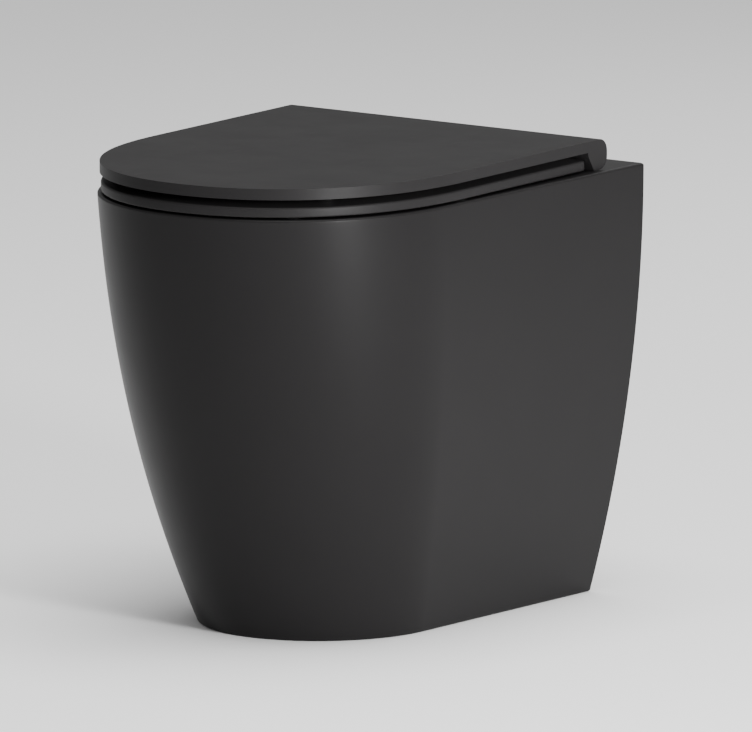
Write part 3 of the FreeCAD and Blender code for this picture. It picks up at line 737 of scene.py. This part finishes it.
def ring_lathe(name, profile, centre, axis, count=48):
    """Hollow solid of revolution: the (radius, along) profile is a closed loop."""
    step = {"x": (1, 0, 0), "y": (0, 1, 0), "z": (0, 0, 1)}[axis]
    loops = []
    for radius, along in profile:
        spot = [c + s * along for c, s in zip(centre, step)]
        loops.append(ring_points(radius, count, spot, axis))
    return loft(name, loops, closed=True)


def cartridge(name, x0, x1, side):
    return soften(ring_lathe(name, cartridge_profile(x0, x1, side), AXIS, "x", 56), 0.0, 30.0)


# ---- fixings


def washer_profile(outer, bore, low, high, edge):
    """Closed (radius, height) loop of a flat ring with broken edges."""
    loop = [(bore, low), (outer - edge, low), (outer, low + edge)]
    return loop + [(outer, high - edge), (outer - edge, high), (bore, high)]


def base_plate(name):
    spot = (FIXING_X, FIXING_BACK, DECK)
    return soften(ring_lathe(name, washer_profile(16.0, 3.0, 0.0, 1.5, 0.3), spot, "z", 72), 0.0, 30.0)


def post(name):
    """Mushroom post with the clip's neck and a counterbore for the bolt."""
    loop = [(3.0, 1.5), (7.2, 1.5), (7.5, 1.8), (7.5, 4.3), (7.2, 4.6), (6.2, 4.6), (6.2, 6.6)]
    loop += [(7.2, 6.6), (7.5, 6.9), (7.5, 9.3), (6.3, 10.5), (5.5, 10.5)]
    loop += [(5.2, 10.2), (5.2, 5.5), (3.0, 5.5)]
    return soften(ring_lathe(name, loop, (FIXING_X, FIXING_BACK, DECK), "z", 64), 0.0, 25.0)


def bolt(name):
    """Socket-head bolt with a threaded shank."""
    profile = [(2.2, -46.0), (2.7, -45.3)]
    z = -45.0
    while z < -2.0:
        profile += [(2.98, z), (2.98, z + 0.15), (2.62, z + 0.5), (2.62, z + 0.6)]
        z += 1.0
    profile += [(2.95, 0.0), (2.95, 5.5), (4.7, 5.5), (5.0, 5.8), (5.0, 9.6), (4.6, 10.0)]
    body = lathe(name, profile, (FIXING_X, FIXING_BACK, DECK), "z", 40)
    drive = lathe("drive", [(2.5, 7.5), (2.5, 12)], (FIXING_X, FIXING_BACK, DECK), "z", 6)
    combine(body, drive, "DIFFERENCE")
    return soften(body, 0.0, 25.0)


def sleeve(name):
    """Rubber sleeve that swells under the deck."""
    loop = [(3.0, 0.0), (6.4, 0.0), (6.8, -0.4), (6.8, -13.0), (7.6, -14.2), (9.1, -16.4), (9.5, -17.6)]
    loop += [(9.5, -19.4), (9.1, -20.2), (9.5, -21.0), (9.5, -24.4), (9.0, -25.8), (6.4, -32.0), (3.0, -32.0)]
    return soften(ring_lathe(name, loop, (FIXING_X, FIXING_BACK, DECK), "z", 56), 0.0, 35.0)


def nut(name):
    """Knurled nut under the sleeve."""
    loops = []
    count = 72
    for radius, z in ((5.7, -32.0), (6.25, -32.5), (6.25, -41.5), (5.7, -42.0)):
        loop = []
        for k in range(count):
            t = 2 * math.pi * k / count
            r = radius + (0.12 if k % 3 == 0 else -0.1)
            loop.append((FIXING_X + r * math.cos(t), FIXING_BACK + r * math.sin(t), DECK + z))
        loops.append(loop)
    body = loft(name, loops)
    tool = lathe("bore", [(3.0, -50), (3.0, -20)], (FIXING_X, FIXING_BACK, DECK), "z", 40)
    combine(body, tool, "DIFFERENCE")
    return soften(body, 0.15, 34.0, 2)


def bracket(name):
    """Folded zinc-plated angle between lug and floor."""
    thick, foot, height, half = 4.0, 40.0, 44.0, 15.0
    bend = 5.5
    inner = bend - thick
    corner = (LUG_X - bend, bend)
    section = [(LUG_X - foot, 0.0)]
    add_arc(section, corner, bend, 270, 360, 8)
    section += [(LUG_X, height), (LUG_X - thick, height)]
    add_arc(section, corner, inner, 360, 270, 6)
    section += [(LUG_X - foot, thick)]
    loops = [[(x, back, z) for x, z in section] for back in (LUG_BACK - half, LUG_BACK + half)]
    body = loft(name, loops)
    r = 8.0
    for turn in (-1, 1):
        mask = [(LUG_BACK + turn * (half - r), height + 1)]
        arc = []
        add_arc(arc, (LUG_BACK + turn * (half - r), height - r), r, 90, 90 - turn * 90, 8)
        mask += arc + [(LUG_BACK + turn * (half + 1), height - r), (LUG_BACK + turn * (half + 1), height + 1)]
        combine(body, slab_x("corner", mask, LUG_X - 6, LUG_X + 2), "DIFFERENCE")
    tools = [
        lathe("floor_hole", [(4.25, -2), (4.25, 6)], (65.0, LUG_BACK, 0), "z", 40),
        lathe("clamp_hole", [(4.0, -8), (4.0, 3)], (LUG_X, LUG_BACK, LUG_Z), "x", 40),
    ]
    combine(body, tools, "DIFFERENCE")
    return soften(body, 0.4, 34.0, 2)


def clamp_screw(name):
    profile = [(5.6, -9.0), (6.6, -8.6), (7.0, -7.8), (7.0, -4.3), (6.7, -4.0), (3.45, -4.0)]
    x = 0.0
    while x < 12.0:
        profile += [(3.45, x), (3.45, x + 0.3), (3.0, x + 0.8), (3.0, x + 1.0)]
        x += 1.5
    profile += [(2.6, 14.0)]
    body = lathe(name, profile, (LUG_X, LUG_BACK, LUG_Z), "x", 48)
    drive = lathe("drive", [(3.0, -12), (3.0, -6)], (LUG_X, LUG_BACK, LUG_Z), "x", 6)
    combine(body, drive, "DIFFERENCE")
    return soften(body, 0.0, 25.0)


def clamp_sleeve(name):
    profile = [(3.5, 0.0), (5.6, 0.0), (6.0, 0.4), (6.0, 15.4), (5.5, 16.0), (3.5, 14.0)]
    return soften(ring_lathe(name, profile, (LUG_X, LUG_BACK, LUG_Z), "x", 48), 0.0, 30.0)


def buffers(name, spots, radius, low, high):
    """Round pads with a domed face below."""
    dome = 0.25 * (high - low)
    pads = []
    for x, back in spots:
        top = [(radius - 0.9, 0.0), (radius - 0.3, 0.15 * dome), (radius, dome)]
        body = [(radius, high - low - 0.2), (radius - 0.2, high - low)]
        profile = [(0.0, 0.0), (radius * 0.6, 0.0)] + top + body
        levels = [(r, DECK + low + h) for r, h in profile]
        pads.append(lathe("pad", levels, (x, back, 0), "z", 40))
    return soften(join(name, pads), 0.0, 32.0)


def rim_spots(angles, squeeze=1.0):
    """Mirrored pairs of spots (x, back) along the middle of the rim, by angle."""
    spots = []
    for degrees in angles:
        t = math.radians(degrees)
        x, back = 152.0 * math.cos(t) * squeeze, 282.0 + 168.0 * math.sin(t)
        spots += [(x, back), (-x, back)]
    return spots


# ---- materials

# Black tones and specular levels are low, because the studio floor round them is pale
GLAZE_TONE = 0.01
GLAZE_ROUGH = 0.37
GLAZE_SPECULAR = 0.08
COVER_TONE = 0.012
COVER_ROUGH = 0.45
COVER_SPECULAR = 0.1


class Nodes:
    """Short way to write a node material."""

    def __init__(self, name):
        self.material = bpy.data.materials.new(name)
        self.material.use_nodes = True
        self.tree = self.material.node_tree
        self.shader = self.tree.nodes["Principled BSDF"]
        self.place = self.add("ShaderNodeTexCoord").outputs["Object"]

    def add(self, kind, **values):
        node = self.tree.nodes.new(kind)
        for key, value in values.items():
            if key in node.inputs:
                node.inputs[key].default_value = value
            else:
                setattr(node, key, value)
        return node

    def link(self, source, target):
        self.tree.links.new(source, target)

    def noise(self, size_mm, detail=3.0, rough=0.5, stretch=None):
        """Noise whose features are about size_mm across, drawn out where stretch is small."""
        node = self.add("ShaderNodeTexNoise", Scale=1000.0 / size_mm, Detail=detail, Roughness=rough)
        place = self.place
        if stretch:
            mapping = self.add("ShaderNodeMapping", Scale=stretch)
            self.link(place, mapping.inputs["Vector"])
            place = mapping.outputs["Vector"]
        self.link(place, node.inputs["Vector"])
        return node.outputs["Fac"]

    def cells(self, size_mm):
        """Distance to the nearest of scattered points about size_mm apart."""
        node = self.add("ShaderNodeTexVoronoi", Scale=1000.0 / size_mm)
        self.link(self.place, node.inputs["Vector"])
        return node.outputs["Distance"]

    def ramp(self, source, low, high, stops=(0.3, 0.7)):
        """Colour or grey between two values where source runs between the stops."""
        node = self.add("ShaderNodeValToRGB")
        for element, stop, value in zip(node.color_ramp.elements, stops, (low, high)):
            element.position = stop
            element.color = value if len(np.shape(value)) else (value, value, value, 1)
        self.link(source, node.inputs["Fac"])
        return node.outputs["Color"]

    def mix_by(self, factor, one, two):
        node = self.add("ShaderNodeMix", data_type="RGBA")
        self.link(factor, node.inputs["Factor"])
        self.link(one, node.inputs["A"])
        self.link(two, node.inputs["B"])
        return node.outputs["Result"]

    def bump(self, heights):
        """Stacks (source, depth in millimetres, strength) bumps."""
        normal = None
        for source, depth, strength in heights:
            node = self.add("ShaderNodeBump", Strength=strength, Distance=depth * MM)
            self.link(source, node.inputs["Height"])
            if normal:
                self.link(normal, node.inputs["Normal"])
            normal = node.outputs["Normal"]
        self.link(normal, self.shader.inputs["Normal"])


def grey(value, warm=0.0):
    """Grey with a little more red, and half as much more blue."""
    return (value * (1 + warm), value, value * (1 + warm / 2), 1)


def matt_glaze():
    """Satin-matt black glaze: fine orange peel, slight clouding and a few pin pricks."""
    m = Nodes("matt_black_glaze")
    tone = m.ramp(m.noise(70, 4), grey(GLAZE_TONE * 0.98, 0.05), grey(GLAZE_TONE * 1.02, 0.05))
    pricks = m.ramp(m.cells(9.0), grey(GLAZE_TONE * 1.35, 0.02), grey(GLAZE_TONE, 0.03), (0.015, 0.05))
    near = m.ramp(m.cells(9.0), 1.0, 0.0, (0.015, 0.05))
    m.link(m.mix_by(near, tone, pricks), m.shader.inputs["Base Color"])
    m.link(m.ramp(m.noise(40, 5), GLAZE_ROUGH - 0.01, GLAZE_ROUGH + 0.015), m.shader.inputs["Roughness"])
    m.shader.inputs["Specular IOR Level"].default_value = GLAZE_SPECULAR
    m.bump([(m.noise(6.0, 2), 0.04, 0.3), (m.noise(1.1, 2), 0.02, 0.45)])
    return m.material


def duroplast():
    """Pressed thermoset with the same satin finish and light handling wear."""
    m = Nodes("matt_black_duroplast")
    tone = m.ramp(m.noise(90, 3), grey(COVER_TONE * 0.98, 0.05), grey(COVER_TONE * 1.02, 0.05))
    m.link(tone, m.shader.inputs["Base Color"])
    scuff = m.noise(3.0, 4, 0.6, (1.0, 0.12, 1.0))
    haze = m.ramp(m.noise(45, 4), COVER_ROUGH - 0.015, COVER_ROUGH + 0.02)
    worn = m.ramp(m.noise(30, 4), COVER_ROUGH - 0.05, COVER_ROUGH)
    m.link(m.mix_by(m.ramp(scuff, 0.0, 1.0, (0.62, 0.72)), haze, worn), m.shader.inputs["Roughness"])
    m.shader.inputs["Specular IOR Level"].default_value = COVER_SPECULAR
    m.bump([(m.noise(0.7, 2), 0.008, 0.35), (scuff, 0.003, 0.15)])
    return m.material


def coated(name, tone, rough, grain_mm=0.5):
    """Powder coat or moulded plastic with a fine grain."""
    m = Nodes(name)
    m.link(m.ramp(m.noise(12, 4), grey(tone * 0.92), grey(tone * 1.08)), m.shader.inputs["Base Color"])
    m.link(m.ramp(m.noise(6, 4), rough - 0.05, rough + 0.06), m.shader.inputs["Roughness"])
    m.bump([(m.noise(grain_mm, 2), 0.02, 0.4)])
    return m.material


def metal(name, tone, rough, stretch=None):
    """Turned, drawn or plated metal; the grain is drawn out where stretch is small."""
    m = Nodes(name)
    m.link(m.ramp(m.noise(8, 4), tone, tuple(min(1, c * 1.12) for c in tone)), m.shader.inputs["Base Color"])
    m.link(m.ramp(m.noise(1.5, 4, 0.6, stretch), rough - 0.07, rough + 0.1), m.shader.inputs["Roughness"])
    m.shader.inputs["Metallic"].default_value = 1.0
    m.bump([(m.noise(0.5, 3, 0.6, stretch), 0.006, 0.35)])
    return m.material


# ---- stage

# Watts of the lights, brightness of the sky, and where the key light stands
SKY = 0.42
OVERHEAD = 190.0
BACK = 18.0
KEY = 150.0
KEY_AZIMUTH = 70.0
KEY_HEIGHT = 0.5
KEY_DISTANCE = 2.6
FLOOR_HALF = 9.0
OBJECT_MIDDLE = (0, 0, 0.25)

# The view: a long lens far off
VIEW_AZIMUTH = 34.97
VIEW_ELEVATION = 9.8645
VIEW_DISTANCE = 20.0
VIEW_AIM = (0.0329, 0.0253, 0.2291)
PIXELS_PER_METRE = 1110.0
IMAGE_WIDTH = 752


def studio():
    """Pale floor, even sky, and soft boxes; the key draws the highlight band down the front."""
    far = FLOOR_HALF
    corners = [(-far, -far, 0), (far, -far, 0), (far, far, 0), (-far, far, 0)]
    floor_mesh = bpy.data.meshes.new("floor")
    floor_mesh.from_pydata(corners, [], [(0, 1, 2, 3)])
    floor = bpy.data.objects.new("floor", floor_mesh)
    bpy.context.scene.collection.objects.link(floor)
    paper = bpy.data.materials.new("floor")
    paper.use_nodes = True
    shader = paper.node_tree.nodes["Principled BSDF"]
    shader.inputs["Base Color"].default_value = (0.95, 0.95, 0.95, 1)
    shader.inputs["Roughness"].default_value = 0.9
    floor.data.materials.append(paper)
    world = bpy.data.worlds.new("studio")
    bpy.context.scene.world = world
    world.use_nodes = True
    world.node_tree.nodes["Background"].inputs["Color"].default_value = (1, 1, 1, 1)
    world.node_tree.nodes["Background"].inputs["Strength"].default_value = SKY
    softbox("overhead", (3.0, 3.0), OVERHEAD, (0.6, -0.1, 4.0), (0, 0, 0.2))
    key = math.radians(KEY_AZIMUTH)
    spot = (KEY_DISTANCE * math.sin(key), -KEY_DISTANCE * math.cos(key), KEY_HEIGHT)
    softbox("key", (0.35, 1.5), KEY, spot, OBJECT_MIDDLE)
    softbox("back", (1.6, 1.2), BACK, (-0.2, 3.0, 1.6), OBJECT_MIDDLE)


def softbox(name, size, power, spot, aim):
    light = bpy.data.lights.new(name, "AREA")
    light.shape = "RECTANGLE"
    light.size, light.size_y = size
    light.energy = power
    lamp = bpy.data.objects.new(name, light)
    bpy.context.scene.collection.objects.link(lamp)
    lamp.location = spot
    lamp.rotation_mode = "QUATERNION"
    lamp.rotation_quaternion = (Vector(spot) - Vector(aim)).to_track_quat("Z", "Y")
    return lamp


def camera():
    """Long lens, 35 degrees round to the object's right and 10 degrees above."""
    data = bpy.data.cameras.new("camera")
    eye = bpy.data.objects.new("camera", data)
    bpy.context.scene.collection.objects.link(eye)
    azimuth, elevation = math.radians(VIEW_AZIMUTH), math.radians(VIEW_ELEVATION)
    back = Vector(
        (
            math.sin(azimuth) * math.cos(elevation),
            -math.cos(azimuth) * math.cos(elevation),
            math.sin(elevation),
        )
    )
    eye.location = Vector(VIEW_AIM) + back * VIEW_DISTANCE
    eye.rotation_mode = "QUATERNION"
    eye.rotation_quaternion = back.to_track_quat("Z", "Y")
    data.sensor_width = 36.0
    data.lens = PIXELS_PER_METRE * VIEW_DISTANCE * data.sensor_width / IMAGE_WIDTH
    data.clip_end = 60.0
    bpy.context.scene.camera = eye


glaze = matt_glaze()
plastic = duroplast()
black_coat = coated("black_powder_coat", 0.03, 0.5)
button_grey = coated("button_grey", 0.22, 0.5, 0.4)
steel = metal("turned_stainless", (0.62, 0.61, 0.6, 1), 0.3, (1.0, 1.0, 6.0))
wire_steel = metal("spring_steel", (0.42, 0.42, 0.43, 1), 0.32)
zinc = metal("zinc_plate", (0.6, 0.62, 0.63, 1), 0.42)
nylon = coated("nylon", 0.7, 0.55, 0.6)
damper_grey = coated("damper_body", 0.12, 0.42, 0.4)
rubber = coated("rubber", 0.035, 0.75, 0.6)
pad_rubber = coated("buffer_rubber", 0.3, 0.6, 0.6)

make_pan(glaze)
make_seat(plastic)
make_lid(plastic)

both_sides(housing, "hinge_housing", "hinge_carrier", "hinge_black", black_coat, "hinge_housing_{}")
both_sides(button, "release_button", "button_{}", "button_grey", button_grey, "release_button_{}")
coils = both_sides(spring, "button_spring", "hinge_carrier", "spring_steel", wire_steel, "button_spring_{}")
for coil, joint in zip(coils, ("release_right", "release_left")):
    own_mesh(coil)

for make, name, body, slot, material, node in (
    (clip, "latch_clip", "hinge_carrier", "spring_steel", wire_steel, "latch_clips"),
    (hinge_pin, "hinge_pin", "hinge_carrier", "stainless", steel, "hinge_pins"),
    (base_plate, "base_plate", "pan", "stainless", steel, "seat_base_plates"),
    (post, "seat_post", "pan", "stainless", steel, "seat_posts"),
    (bolt, "top_fix_bolt", "pan", "stainless", steel, "top_fix_bolts"),
    (sleeve, "expander_sleeve", "pan", "rubber", rubber, "expander_sleeves"),
    (nut, "expander_nut", "pan", "zinc_plate", zinc, "expander_nuts"),
    (bracket, "floor_bracket", "pan", "zinc_plate", zinc, "floor_bracket_{}"),
    (clamp_screw, "clamp_screw", "pan", "stainless", steel, "bracket_clamp_screws"),
    (clamp_sleeve, "clamp_sleeve", "pan", "nylon", nylon, "clamp_screw_sleeves"),
):
    both_sides(make, name, body, slot, material, node)

for body, (x0, x1), damper_side in (("seat", SEAT_CARTRIDGE_X, 1), ("lid", LID_CARTRIDGE_X, -1)):
    damper = cartridge(body + "_damper_round", x0, x1, damper_side)
    fit_out(damper, body, "damper_body", damper_grey, body + "_damper")
    bush = cartridge(body + "_bush_round", x0, x1, -damper_side)
    fit_out(bush, body, "nylon", nylon, body + "_bush")

seat_pads = buffers("seat_pads", rim_spots((55.0, -10.0)), 8.0, 0.05, 2.2)
fit_out(seat_pads, "seat", "buffer_rubber", pad_rubber, "seat_buffers")
lid_pads = buffers("lid_pads", rim_spots((42.0, -28.0), 0.94), 6.0, 15.05, 21.6)
fit_out(lid_pads, "lid", "buffer_rubber", pad_rubber, "lid_buffers")

studio()
camera()
